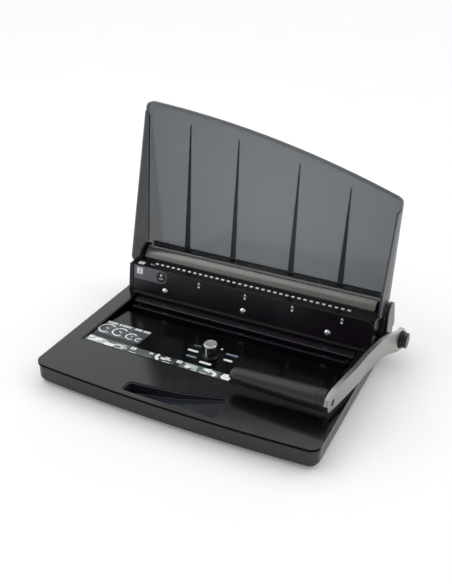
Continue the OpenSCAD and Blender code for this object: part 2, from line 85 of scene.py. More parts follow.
FILM = 0.25 * MM  # thickness of a printed film
FILM_EDGE = 0.08 * MM
INK = 0.05 * MM  # height of one printed layer
DOT = 1.5 * MM
DOT_FLARE = 0.1 * MM
DEFAULT_GRAINS = 2600.0
BUMP_HEIGHT = 0.2 * MM
DUST_COLOUR = (0.55, 0.53, 0.5, 1.0)
FLOOR_DROP = -0.1 * MM
HOLE_COUNT = 34
HOLE_PITCH = 25.4 / 3 * MM
SAME_POINT = 0.002 * MM
FLAT_WITHIN = math.radians(0.4)
SHARP_EDGE = math.radians(30.0)  # a solid's sharper edges are rounded
SMOOTH_BELOW = math.radians(48.0)  # flatter edges are shaded smooth
RING_EDGE = 0.5 * MM  # rounding of the lever's collar and ring
FRONT_SCREWS = (-118.5, 0.5, 119)  # across the front panel, in mm
PANEL_ARROWS = (-67, 1.6, 68.6, 135.5)  # across the front panel, in mm
LIGHT_AIM = Vector((0, -0.05, 0.08))
BLACKENED = ("drive_shaft", "size_stop_plate")


# ---- places on the machine, taken from the solid model ----

LID_ORIGIN = Vector((0, 41.8, 80.3)) * MM
LID_LEAN = math.radians(5.05)
LID_PANEL = 2.4 * MM
RIB_REACH = 168.2 * MM
RIB_HEIGHT = 1.7 * MM
LID_MIDDLE = (0.02, 0.05, 0.17)  # where the lid is clearest


def bed_place(x, y):
    """Place on the sloping bed: x across, y up the slope from the strip's front edge."""
    low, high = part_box("instruction_strip")
    slope = math.atan2(high.z - low.z - FILM, high.y - low.y)
    foot = Matrix.Translation((x, low.y, high.z - FILM))
    return foot @ Matrix.Rotation(-slope, 4, "X") @ Matrix.Translation((0, y, 0))


def panel_place(x, up):
    """Place on the leaning front panel: x across, up the sheet from the label's lower edge."""
    low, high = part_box("front_label")
    lean = math.atan2(high.y - low.y - FILM, high.z - low.z)
    foot = Matrix.Translation((x, low.y + FILM, low.z))
    return foot @ Matrix.Rotation(math.pi / 2 - lean, 4, "X") @ Matrix.Translation((0, up, 0))


def lid_place():
    """Frame of the open lid: x across, y up its panel, z forward from its outer face."""
    return Matrix.Translation(LID_ORIGIN) @ Matrix.Rotation(math.pi / 2 - LID_LEAN, 4, "X")


def foot_of(node):
    """Place at the middle of a solid's underside."""
    low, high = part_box(node)
    return Matrix.Translation(((low.x + high.x) / 2, (low.y + high.y) / 2, low.z))


def left_end_of(node):
    """Place at the middle of a solid's left end, with its Z turned to the right."""
    low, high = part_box(node)
    end = Matrix.Translation((low.x, (low.y + high.y) / 2, (low.z + high.z) / 2))
    return end @ Matrix.Rotation(math.pi / 2, 4, "Y")


def shift(x, y, up=0.0):
    """Place across and along in millimetres, and up in metres."""
    return Matrix.Translation((x * MM, y * MM, up))


def in_mm(points):
    """Points given in millimetres, in metres."""
    return [(x * MM, y * MM) for x, y in points]


# ---- shapes ----


def verts_in(geometry):
    """Vertices among what an operator made."""
    return [v for v in geometry if isinstance(v, bmesh.types.BMVert)]


def round_edges(shape, edges, radius, steps):
    """Rounds some of a shape's edges."""
    bmesh.ops.bevel(shape, geom=edges, offset=radius, segments=steps, profile=0.5,
                    affect="EDGES", material=-1, clamp_overlap=True)


def thicken(shape, height):
    """Makes a flat shape a plate of that height."""
    top = bmesh.ops.extrude_face_region(shape, geom=shape.faces[:])["geom"]
    bmesh.ops.translate(shape, vec=(0, 0, height), verts=verts_in(top))
    bmesh.ops.recalc_face_normals(shape, faces=shape.faces)


def turned(profile, steps):
    """Spins a profile of (radius, height) points round Z into a closed, outward-facing shape."""
    shape = bmesh.new()
    line = [shape.verts.new((r, 0, z)) for r, z in profile]
    edges = [shape.edges.new(pair) for pair in zip(line, line[1:])]
    bmesh.ops.spin(shape, geom=line + edges, axis=(0, 0, 1), cent=(0, 0, 0),
                   angle=2 * math.pi, steps=steps, use_merge=True)
    bmesh.ops.remove_doubles(shape, verts=shape.verts, dist=SAME_POINT / 2)
    bmesh.ops.recalc_face_normals(shape, faces=shape.faces)
    return shape


def slab(outline, height, edge=0.0):
    """Flat outline of (x, y) points, made a plate of that height, with its top edge rounded."""
    shape = bmesh.new()
    shape.faces.new([shape.verts.new((x, y, 0)) for x, y in outline])
    thicken(shape, height)
    if edge:
        rim = [e for e in shape.edges if all(v.co.z > height / 2 for v in e.verts)]
        round_edges(shape, rim, edge, 2)
    return shape


def disc(radius, height, steps, flare=0.0):
    """Round plate standing on the origin; flare widens its foot."""
    return turned([(0, height), (radius, height), (radius + flare, 0), (0, 0)], steps)


def rectangle(width, depth):
    """Outline from the corner at the origin."""
    return [(0, 0), (width, 0), (width, depth), (0, depth)]


def stadium(length, radius, steps=24):
    """Outline with round ends, centred on the origin; length is between the ends' centres."""
    points = []
    for i in range(steps):
        turn = 2 * math.pi * (i + 0.5) / steps
        x = radius * math.cos(turn)
        points.append((x + math.copysign(length / 2, x), radius * math.sin(turn)))
    return points


def band(inner, outer, start, sweep, height, steps=20):
    """Flat arc between two radii, from start round by sweep, made a plate of that height."""
    shape = bmesh.new()
    ends = [shape.verts.new((r * math.cos(start), r * math.sin(start), 0)) for r in (inner, outer)]
    edge = shape.edges.new(ends)
    bmesh.ops.spin(shape, geom=ends + [edge], axis=(0, 0, 1), cent=(0, 0, 0),
                   angle=sweep, steps=steps, use_merge=False)
    thicken(shape, height)
    return shape


def bent_strip(path, width, thickness):
    """Strip that follows (y, z) points, with its corners rounded."""
    shape = bmesh.new()
    y, z = path[0]
    ends = [shape.verts.new((side * width / 2, y, z)) for side in (-1, 1)]
    edges = [shape.edges.new(ends)]
    for (y0, z0), (y1, z1) in zip(path, path[1:]):
        made = bmesh.ops.extrude_edge_only(shape, edges=edges)["geom"]
        edges = [e for e in made if isinstance(e, bmesh.types.BMEdge)
                 and len(e.link_faces) == 1]
        bmesh.ops.translate(shape, vec=(0, y1 - y0, z1 - z0), verts=verts_in(made))
    bmesh.ops.solidify(shape, geom=shape.faces[:], thickness=thickness)
    bmesh.ops.recalc_face_normals(shape, faces=shape.faces)
    return shape


def numeral(text, size, height):
    """Printed numeral, centred on the origin."""
    curve = bpy.data.curves.new("numeral", "FONT")
    curve.body = text
    curve.size = size
    curve.align_x = "CENTER"
    curve.align_y = "CENTER"
    curve.extrude = height / 2
    carrier = bpy.data.objects.new("numeral", curve)
    mesh = bpy.data.meshes.new_from_object(carrier)
    shape = bmesh.new()
    shape.from_mesh(mesh)
    bmesh.ops.translate(shape, vec=(0, 0, height / 2), verts=shape.verts)
    bpy.data.objects.remove(carrier)
    bpy.data.curves.remove(curve)
    bpy.data.meshes.remove(mesh)
    return shape


def merge(whole, part, place=Matrix(), index=0):
    """Adds a finished shape to a bigger one, in its place and with its material's index."""
    for face in part.faces:
        face.material_index = index
    mesh = bpy.data.meshes.new("part")
    part.to_mesh(mesh)
    part.free()
    mesh.transform(place)
    whole.from_mesh(mesh)
    bpy.data.meshes.remove(mesh)


def finish_piece(name, shape, slots, body, stands_for=()):
    """Turns a shape into a shown piece with its finishes, and lets it ride on its body."""
    mesh = bpy.data.meshes.new(name)
    shape.to_mesh(mesh)
    shape.free()
    for slot in slots:
        mesh.materials.append(finishes[slot])
    mesh.shade_smooth()
    mesh.set_sharp_from_angle(angle=SMOOTH_BELOW)
    piece = bpy.data.objects.new(name, mesh)
    bpy.context.scene.collection.objects.link(piece)
    flat = piece.modifiers.new("flat faces", "WEIGHTED_NORMAL")
    flat.keep_sharp = True
    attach(piece, body)
    if stands_for:
        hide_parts(*stands_for)


def rounded_copy(node, radius, steps=3):
    """Merged copy of a solid with its sharp edges rounded."""
    shape = bmesh.new()
    shape.from_mesh(frame["nodes"][node].data)
    for face in shape.faces:
        face.material_index = 0
    bmesh.ops.remove_doubles(shape, verts=shape.verts, dist=SAME_POINT)
    bmesh.ops.dissolve_limit(shape, angle_limit=FLAT_WITHIN, verts=shape.verts,
                             edges=shape.edges)
    edges = [e for e in shape.edges if len(e.link_faces) == 2
             and e.calc_face_angle(0) > SHARP_EDGE]
    round_edges(shape, edges, radius, steps)
    return shape


def soften(node, radius, steps=3):
    """Shows a solid as a moulded piece with rounded edges."""
    body = frame["nodes"][node]["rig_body"]
    finish_piece(node + "_moulded", rounded_copy(node, radius, steps), [SLOT_OF[node]], body,
                 [node])


def print_plate(whole, width, depth, place, index):
    """Adds a printed rectangle, its sides in millimetres, with its corner on the place."""
    merge(whole, slab(rectangle(width * MM, depth * MM), INK), place, index)


# ---- shader node groups shared by the finishes ----


def add_node(tree, kind, inputs=None, **settings):
    """Adds a shader node, sets its options, and sets or links its inputs."""
    made = tree.nodes.new("ShaderNode" + kind)
    for name, value in settings.items():
        setattr(made, name, value)
    for name, value in (inputs or {}).items():
        if isinstance(value, bpy.types.NodeSocket):
            tree.links.new(value, made.inputs[name])
        else:
            made.inputs[name].default_value = value
    return made


def maths(tree, operation, a, b=0.0):
    """Result of one sum on two values."""
    return add_node(tree, "Math", {0: a, 1: b}, operation=operation).outputs[0]


def spread(tree, value, low, high, out_low=0.0, out_high=1.0):
    """Value moved from one range to another, and kept inside it."""
    made = add_node(tree, "MapRange", {"Value": value, "From Min": low, "From Max": high,
                                       "To Min": out_low, "To Max": out_high}, clamp=True)
    return made.outputs[0]


def blend_colour(tree, factor, first, second):
    """Colour between two, by a factor."""
    made = add_node(tree, "Mix", {0: factor, 6: first, 7: second}, data_type="RGBA")
    return made.outputs[2]


def noise(tree, where, scale, detail, **more):
    """Soft noise, from 0 to 1."""
    inputs = {"Vector": where, "Scale": scale, "Detail": detail, **more}
    return add_node(tree, "TexNoise", inputs).outputs["Fac"]


def start_group(name, inputs, outputs):
    """New node group that takes a place and named values; returns it with its two ends."""
    group = bpy.data.node_groups.new(name, "ShaderNodeTree")
    group.interface.new_socket("Vector", in_out="INPUT", socket_type="NodeSocketVector")
    for label, value in inputs.items():
        kind = "NodeSocketFloat" if isinstance(value, float) else "NodeSocketVector"
        group.interface.new_socket(label, in_out="INPUT", socket_type=kind).default_value = value
    for label in outputs:
        group.interface.new_socket(label, in_out="OUTPUT", socket_type="NodeSocketFloat")
    return group, group.nodes.new("NodeGroupInput").outputs, group.nodes.new("NodeGroupOutput")


def moulded_grain_group():
    """Spark-eroded texture of a mould, with a slow change of shade."""
    group, start, end = start_group("Moulded grain", {"Grains": DEFAULT_GRAINS, "Patches": 16.0},
                                    ["Height", "Shade"])
    where = start["Vector"]
    fine = noise(group, where, start["Grains"], 3.0, Roughness=0.6)
    pits = add_node(group, "TexVoronoi", {"Vector": where, "Scale": start["Grains"]})
    slow = noise(group, where, start["Patches"], 2.0)
    height = maths(group, "ADD", fine, maths(group, "MULTIPLY", pits.outputs["Distance"], 0.4))
    group.links.new(height, end.inputs["Height"])
    group.links.new(spread(group, slow, 0.3, 0.7), end.inputs["Shade"])
    return group


def handling_group():
    """Smears and rubbed patches left by hands and cloths."""
    group, start, end = start_group("Handling marks", {"Patches": 22.0}, ["Mask"])
    where = start["Vector"]
    bend = noise(group, where, start["Patches"], 4.0, Distortion=1.6)
    drawn_out = add_node(group, "Mapping", {"Vector": where, "Scale": (3.0, 14.0, 14.0),
                                            "Rotation": (0.0, 0.0, 0.6)})
    streak = noise(group, drawn_out.outputs[0], 30.0, 3.0)
    mask = maths(group, "MULTIPLY", spread(group, bend, 0.45, 0.75),
                 spread(group, streak, 0.3, 0.7, 0.4, 1.0))
    group.links.new(mask, end.inputs["Mask"])
    return group


def edge_wear_group():
    """Rubbed outer edges: where the rounded normal leaves the true one, broken up by noise."""
    group, start, end = start_group("Edge wear", {"Width": 0.6 * MM}, ["Mask"])
    soft = add_node(group, "Bevel", {"Radius": start["Width"]}, samples=4)
    true = add_node(group, "NewGeometry")
    near = add_node(group, "VectorMath", {0: soft.outputs[0], 1: true.outputs["Normal"]},
                    operation="DOT_PRODUCT").outputs["Value"]
    broken = noise(group, start["Vector"], 340.0, 4.0)
    mask = maths(group, "MULTIPLY", spread(group, near, 0.995, 0.9),
                 spread(group, broken, 0.42, 0.62))
    group.links.new(mask, end.inputs["Mask"])
    return group


def settled_dust_group():
    """Dust specks on what faces up."""
    group, start, end = start_group("Settled dust", {"Specks": 1100.0}, ["Mask"])
    where = start["Vector"]
    true = add_node(group, "NewGeometry")
    up = add_node(group, "SeparateXYZ", {0: true.outputs["Normal"]}).outputs["Z"]
    specks = noise(group, where, start["Specks"], 2.0)
    drift = noise(group, where, 9.0, 3.0)
    mask = maths(group, "MULTIPLY", spread(group, up, 0.5, 0.95),
                 maths(group, "MULTIPLY", spread(group, specks, 0.5, 0.75),
                       spread(group, drift, 0.35, 0.7, 0.3, 1.0)))
    group.links.new(mask, end.inputs["Mask"])
    return group


def brushed_group():
    """Fine lines of drawn or brushed metal."""
    group, start, end = start_group("Brushed lines", {"Stretch": (1.0, 30.0, 30.0)},
                                    ["Height", "Shade"])
    drawn = add_node(group, "Mapping", {"Vector": start["Vector"], "Scale": start["Stretch"]})
    lines = noise(group, drawn.outputs[0], 90.0, 5.0, Roughness=0.7)
    group.links.new(lines, end.inputs["Height"])
    group.links.new(spread(group, lines, 0.3, 0.7), end.inputs["Shade"])
    return group


# ---- finishes ----


def make_groups():
    """Makes the shared node groups once."""
    groups.update(grain=moulded_grain_group(), marks=handling_group(), wear=edge_wear_group(),
                  dust=settled_dust_group(), brushed=brushed_group())


def place_group(tree, name, where, **inputs):
    """Places a shared group in a material's tree."""
    made = tree.nodes.new("ShaderNodeGroup")
    made.node_tree = groups[name]
    tree.links.new(where, made.inputs["Vector"])
    for label, value in inputs.items():
        made.inputs[label.capitalize()].default_value = value
    return made


def opaque(colour):
    """Colour with full alpha."""
    return (*colour, 1.0)


def surface(name, colour, roughness, metallic=0.0, grain=DEFAULT_GRAINS, depth=0.05,
            brushed=None, contrast=1.5, worn=None, dust=0.0, marks=0.1, alpha=None, shine=0.5):
    """Makes one finish: a Principled shader fed by grain or brushing, wear, dust and marks."""
    material = bpy.data.materials.new(name)
    material.use_nodes = True
    tree = material.node_tree
    shader = tree.nodes["Principled BSDF"]
    where = add_node(tree, "TexCoord").outputs["Object"]
    if brushed:
        texture = place_group(tree, "brushed", where, stretch=brushed)
    else:
        texture = place_group(tree, "grain", where, grains=grain)
    light = tuple(c * contrast for c in colour)
    mixed = blend_colour(tree, texture.outputs["Shade"], opaque(colour), opaque(light))
    if worn:
        wear = place_group(tree, "wear", where)
        mixed = blend_colour(tree, wear.outputs["Mask"], mixed, opaque(worn))
    if dust:
        specks = place_group(tree, "dust", where)
        film = maths(tree, "MULTIPLY", specks.outputs["Mask"], dust)
        mixed = blend_colour(tree, film, mixed, DUST_COLOUR)
    tree.links.new(mixed, shader.inputs["Base Color"])
    rubbed = place_group(tree, "marks", where)
    rough = spread(tree, rubbed.outputs["Mask"], 0.0, 1.0, roughness, roughness + marks)
    tree.links.new(rough, shader.inputs["Roughness"])
    bump = add_node(tree, "Bump", {"Strength": depth, "Distance": BUMP_HEIGHT,
                                   "Height": texture.outputs["Height"]})
    tree.links.new(bump.outputs[0], shader.inputs["Normal"])
    shader.inputs["Metallic"].default_value = metallic
    shader.inputs["Specular IOR Level"].default_value = shine
    if alpha:
        # alpha rises with distance from LID_MIDDLE, so the lid is drawn darker towards its edges
        away = add_node(tree, "VectorMath", {0: where, 1: LID_MIDDLE}, operation="DISTANCE")
        clearest, densest = alpha - 0.035, alpha + 0.02
        denser_away = spread(tree, away.outputs["Value"], 30 * MM, 200 * MM, clearest, densest)
        streak = maths(tree, "MULTIPLY", texture.outputs["Shade"], 0.022)
        tree.links.new(maths(tree, "ADD", denser_away, streak), shader.inputs["Alpha"])
    finishes[name] = material


def make_finishes(colours):
    """Makes a finish for each material slot of the record, and a few that share a slot."""
    black_edge = (0.05, 0.05, 0.055)
    surface("deck_plastic", colours.deck, 0.16, worn=black_edge, dust=0.012)
    # painted shadow: near-black, nearly unreflective finish for the deck's front side, standing in
    # for the shade in the seam
    surface("seam_shadow", (0.0015, 0.0015, 0.0016), 0.6, depth=0.1, shine=0.06)
    surface("pan_plastic", colours.pan, 0.27, worn=black_edge, depth=0.1)
    surface("bed_plastic", colours.bed, 0.12, dust=0.008, depth=0.03, shine=0.2)
    surface("recess_plastic", colours.recess, 0.16, dust=0.01)
    surface("foot_rubber", (0.02, 0.02, 0.021), 0.85, grain=1500.0, depth=0.5)
    surface("machine_steel", (0.42, 0.43, 0.44), 0.34, 1.0, brushed=(1.0, 30.0, 30.0))
    surface("fastener_steel", (0.8, 0.81, 0.83), 0.14, 1.0, brushed=(20.0, 20.0, 1.0),
            contrast=1.12)
    surface("black_oxide", (0.012, 0.012, 0.013), 0.3, 0.4, brushed=(30.0, 1.0, 30.0), shine=0.3)
    surface("bush_bronze", (0.42, 0.27, 0.12), 0.36, 1.0, brushed=(1.0, 30.0, 30.0))
    surface("panel_paint", colours.panel, 0.24, grain=1900.0, worn=(0.12, 0.12, 0.13),
            dust=0.012, depth=0.1, shine=0.4)
    surface("housing_plastic", colours.housing, 0.22, worn=black_edge, dust=0.01, shine=0.35)
    surface("tower_plastic", (0.02, 0.02, 0.021), 0.3, worn=black_edge, dust=0.01, depth=0.1)
    surface("guide_paint", colours.guide, 0.26, 0.8, grain=1900.0, contrast=1.15,
            worn=(0.3, 0.3, 0.32), depth=0.08)
    surface("hook_steel", (0.5, 0.51, 0.52), 0.24, 1.0, brushed=(20.0, 20.0, 1.0), contrast=1.1)
    surface("inner_plastic", (0.022, 0.022, 0.024), 0.5, depth=0.14)
    for name, colour, roughness, grain, contrast in (
            ("label_grey", (0.115, 0.115, 0.14), 0.42, 1400.0, 1.3),
            ("print_white", (0.86, 0.87, 0.89), 0.45, 900.0, 1.15),
            ("print_grey", (0.06, 0.08, 0.078), 0.42, 700.0, 2.8),
            ("print_pale", (0.42, 0.5, 0.48), 0.42, 700.0, 1.3),
            ("print_slate", (0.02, 0.024, 0.03), 0.4, 700.0, 3.0),
            ("print_lavender", (0.17, 0.22, 0.29), 0.42, 900.0, 1.3),
            ("print_black", (0.008, 0.008, 0.01), 0.4, 900.0, 1.5)):
        surface(name, colour, roughness, grain=grain, contrast=contrast, depth=0.03)
    surface("dial_plastic", (0.006, 0.006, 0.007), 0.2, worn=black_edge, depth=0.04)
    surface("dial_chrome", (0.86, 0.87, 0.86), 0.26, 1.0, brushed=(8.0, 8.0, 1.0), contrast=1.1)
    surface("lid_smoke", colours.lid, 0.12, brushed=(12.0, 12.0, 0.6), depth=0.002,
            alpha=0.655, marks=0.12, shine=0.4)
    for name, colour, roughness, alpha, shine in (
            ("lid_rib", (0.004, 0.0055, 0.009), 0.3, 0.95, 0.08),
            ("lid_rim", (0.014, 0.017, 0.021), 0.25, 0.8, 0.3),
            ("lid_wall", (0.012, 0.018, 0.024), 0.2, 0.72, 0.12)):
        surface(name, colour, roughness, grain=1200.0, depth=0.02, alpha=alpha, shine=shine)
    surface("arm_paint", colours.arm, 0.24, 1.0, grain=1900.0, contrast=1.12,
            worn=(0.42, 0.42, 0.42), dust=0.01, depth=0.07)
    surface("grip_plastic", colours.grip, 0.32, grain=1500.0, worn=black_edge, depth=0.12)
    surface("knob_plastic", (0.008, 0.008, 0.009), 0.3, worn=black_edge, depth=0.12)


# ---- settings ----


def colour_setting(name, description, default):
    """Setting for one colour."""
    return FloatVectorProperty(name=name, description=description, default=default,
                               subtype="COLOR", size=3, min=0.0, max=1.0)


def length_setting(name, description, default):
    """Setting for one length, given in metres."""
    return FloatProperty(name=name, description=description, default=default,
                         min=0.0, precision=5, unit="LENGTH")


def angle_setting(name, description, degrees):
    """Setting for one angle, with its default in degrees."""
    return FloatProperty(name=name, description=description, default=math.radians(degrees),
                         unit="ROTATION")


def strength_setting(name, description, default, **limits):
    """Setting for one amount of light."""
    return FloatProperty(name=name, description=description, default=default, min=0.0, **limits)


def count_setting(name, description, default, low, high):
    """Setting for how many of a thing there are."""
    return IntProperty(name=name, description=description, default=default, min=low, max=high)


class BinderColours(bpy.types.PropertyGroup):
    """Colours that a user would change."""

    deck: colour_setting("Deck", "Top of the base", (0.0035, 0.0032, 0.0038))
    pan: colour_setting("Pan", "Lower shell of the base", (0.006, 0.0072, 0.0105))
    bed: colour_setting("Bed", "Sunken bed", (0.0008, 0.0008, 0.0008))
    recess: colour_setting("Hand recess", "Floor of the hand recess", (0.013, 0.0145, 0.021))
    panel: colour_setting("Front panel", "Painted front of the punch", (0.0055, 0.003, 0.0065))
    housing: colour_setting("Housing", "Punch covers", (0.0018, 0.0018, 0.0018))
    guide: colour_setting("Paper guide", "Curved guide behind the hooks", (0.17, 0.168, 0.16))
    lid: colour_setting("Lid", "Smoked clear lid", (0.031, 0.051, 0.068))
    arm: colour_setting("Lever arm", "Painted lever arm", (0.31, 0.308, 0.296))
    grip: colour_setting("Grip", "Lever grip", (0.009, 0.0093, 0.009))


class BinderSizes(bpy.types.PropertyGroup):
    """Roundings and detail sizes that a user would change."""

    shell_edge: length_setting("Shell edge", "Rounding of the base's edges", 1.3 * MM)
    cover_edge: length_setting("Cover edge", "Rounding of the punch covers", 0.5 * MM)
    tower_edge: length_setting("Tower edge", "Rounding of the end towers", 1.3 * MM)
    arm_edge: length_setting("Arm edge", "Rounding of the lever arm", 1.3 * MM)
    lid_edge: length_setting("Lid edge", "Rounding of the lid", 0.5 * MM)
    hook_width: length_setting("Hook width", "Width of one wire hook", 4.6 * MM)
    hook_sheet: length_setting("Hook sheet", "Thickness of the hooks", 1.1 * MM)
    hook_count: count_setting("Hooks", "Number of wire hooks", HOLE_COUNT, 2, 60)
    flutes: count_setting("Flutes", "Number of flutes round the dial", 18, 6, 40)
    knob_sides: count_setting("Knob sides", "Number of flats on the knob", 8, 5, 16)


class BinderStage(bpy.types.PropertyGroup):
    """Camera, floor and light."""

    place: FloatVectorProperty(name="Camera", description="Place of the camera",
                               default=(0.3697, -0.8288, 0.5747), subtype="TRANSLATION", size=3)
    azimuth: angle_setting("Azimuth", "Turn of the camera round the machine", 25.91)
    elevation: angle_setting("Elevation", "Tilt of the camera downwards", 29.5)
    roll: angle_setting("Roll", "Roll of the camera", 0.52)
    lens: FloatProperty(name="Lens", description="Focal length on a 36 mm sensor, in mm",
                        default=48.23, min=10.0)
    floor: length_setting("Floor", "Half the width of the floor", 12.0)
    sky: strength_setting("Sky", "Strength of the light all round", 1.22)
    key: strength_setting("Key light", "Power of the large soft light", 3.0, unit="POWER")
    dark: strength_setting("Camera side", "Light from the camera's side, as a share", 0.3, max=1.0)


# ---- operators: stage ----


class BINDER_OT_stage(bpy.types.Operator):
    """Makes the camera, the pale floor and the soft studio light"""

    bl_idname = "binder.stage"
    bl_label = "Stage"

    def execute(self, context):
        stage = context.scene.binder_stage
        camera = bpy.data.objects.new("camera", bpy.data.cameras.new("camera"))
        context.scene.collection.objects.link(camera)
        camera.matrix_world = (Matrix.Translation(stage.place)
                               @ Matrix.Rotation(stage.azimuth, 4, "Z")
                               @ Matrix.Rotation(math.pi / 2 - stage.elevation, 4, "X")
                               @ Matrix.Rotation(stage.roll, 4, "Z"))
        camera.data.lens = stage.lens
        camera.data.sensor_width = 36.0
        camera.data.clip_start = 10 * MM
        context.scene.camera = camera
        self.make_floor(context, stage.floor)
        self.make_light(context, stage)
        context.scene.view_settings.view_transform = "Standard"
        return {"FINISHED"}

    def make_floor(self, context, half):
        """Wide pale floor, just below the feet."""
        shape = bmesh.new()
        bmesh.ops.create_grid(shape, x_segments=4, y_segments=4, size=half)
        bmesh.ops.translate(shape, vec=(0, 0, FLOOR_DROP), verts=shape.verts)
        mesh = bpy.data.meshes.new("floor")
        shape.to_mesh(mesh)
        shape.free()
        floor = bpy.data.objects.new("floor", mesh)
        context.scene.collection.objects.link(floor)
        material = bpy.data.materials.new("floor_paper")
        material.use_nodes = True
        tree = material.node_tree
        shader = tree.nodes["Principled BSDF"]
        where = add_node(tree, "TexCoord").outputs["Object"]
        fibre = noise(tree, where, 6.0, 3.0)
        pale = blend_colour(tree, fibre, opaque([0.93] * 3), opaque([0.96] * 3))
        tree.links.new(pale, shader.inputs["Base Color"])
        tree.links.new(pale, shader.inputs["Emission Color"])
        shader.inputs["Emission Strength"].default_value = 0.1
        shader.inputs["Roughness"].default_value = 1.0
        shader.inputs["Specular IOR Level"].default_value = 0.0
        mesh.materials.append(material)

    def make_light(self, context, stage):
        """Light all round, weaker from the camera's side, and two large soft lights."""
        world = bpy.data.worlds.new("studio")
        world.use_nodes = True
        tree = world.node_tree
        sky = tree.nodes["Background"]
        where = add_node(tree, "TexCoord").outputs["Generated"]
        behind = add_node(tree, "VectorMath", {0: where, 1: stage.place.normalized()},
                          operation="DOT_PRODUCT").outputs["Value"]
        shade = spread(tree, behind, 0.35, 0.85, 1.0, stage.dark)
        seen = add_node(tree, "LightPath").outputs["Is Camera Ray"]
        tree.links.new(maths(tree, "MAXIMUM", shade, seen), sky.inputs["Color"])
        sky.inputs["Strength"].default_value = stage.sky
        context.scene.world = world
        for name, place, size, power in (
                ("key", (-0.9, -0.5, 1.5), 1.2, stage.key),
                ("fill", (1.3, 0.3, 1.2), 1.0, stage.key * 0.5)):
            lamp = bpy.data.lights.new(name, "AREA")
            lamp.size = size
            lamp.energy = power
            light = bpy.data.objects.new(name, lamp)
            context.scene.collection.objects.link(light)
            aim = Vector(place) - LIGHT_AIM
            light.matrix_world = (Matrix.Translation(place)
                                  @ aim.to_track_quat("Z", "Y").to_matrix().to_4x4())


class BINDER_OT_finishes(bpy.types.Operator):
    """Makes the finishes and gives the solids that stay in sight theirs"""

    bl_idname = "binder.finishes"
    bl_label = "Finishes"

    def execute(self, context):
        make_groups()
        make_finishes(context.scene.binder_colours)
        for name, solid in frame["nodes"].items():
            slot = "black_oxide" if name in BLACKENED else SLOT_OF[name]
            solid.data.materials.clear()
            solid.data.materials.append(finishes[slot])
        return {"FINISHED"}


# ---- operators: base ----


class BINDER_OT_base(bpy.types.Operator):
    """Makes the base: pan, deck, hand recess, bed and feet"""

    bl_idname = "binder.base"
    bl_label = "Base"

    def execute(self, context):
        edge = context.scene.binder_sizes.shell_edge
        self.make_deck(edge)
        soften("base_pan", edge * 0.7)
        soften("carry_recess", edge * 0.6)
        soften("bed_tray", edge * 0.3, steps=2)
        soften("chip_tray", edge * 0.5, steps=2)
        self.make_feet()
        return {"FINISHED"}

    def make_deck(self, edge):
        """Deck with its narrow front side given a painted shadow: the near-black finish that stands
        for the seam's shade.
        """
        shape = rounded_copy("deck_cover", edge)
        front_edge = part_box("deck_cover")[0].y + 20 * MM
        # forward-facing faces near the front edge get the painted seam shadow
        for face in shape.faces:
            faces_front = abs(face.normal.z) < 0.35 and face.normal.y < -0.3
            if faces_front and face.calc_center_median().y < front_edge:
                face.material_index = 1
        finish_piece("deck_cover_moulded", shape, ["deck_plastic", "seam_shadow"], "base",
                     ["deck_cover"])

    def make_feet(self):
        """Rubber feet with a dished underside."""
        low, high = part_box("rubber_feet")
        whole = bmesh.new()
        radius = 9 * MM
        dish = 0.4 * MM
        tall = high.z - low.z
        profile = [(0, dish), (radius * 0.6, dish), (radius * 0.7, 0), (radius * 0.9, 0),
                   (radius, 2 * dish), (radius, tall - 0.3 * MM), (radius * 0.97, tall), (0, tall)]
        across = high.x - radius
        for x, y in ((-across, low.y + radius), (across, low.y + radius),
                     (-across, high.y - radius), (across, high.y - radius), (0, 0)):
            merge(whole, turned(profile, 32), Matrix.Translation((x, y, low.z)))
        finish_piece("feet_moulded", whole, ["foot_rubber"], "base", ["rubber_feet"])


# ---- operators: punch housing ----


class BINDER_OT_housing(bpy.types.Operator):
    """Makes the punch housing's panels, covers, cheeks, brackets and towers"""

    bl_idname = "binder.housing"
    bl_label = "Punch housing"

    def execute(self, context):
        sizes = context.scene.binder_sizes
        for node in ("punch_front_panel", "punch_top_cover", "paper_guide", "left_cheek",
                     "right_cheek", "left_hinge_bracket", "right_hinge_bracket", "fixed_jaw",
                     "closing_bar"):
            soften(node, sizes.cover_edge, steps=2)
        soften("rear_cover", sizes.cover_edge * 1.6)
        soften("left_tower", sizes.tower_edge)
        soften("right_tower", sizes.tower_edge)
        return {"FINISHED"}


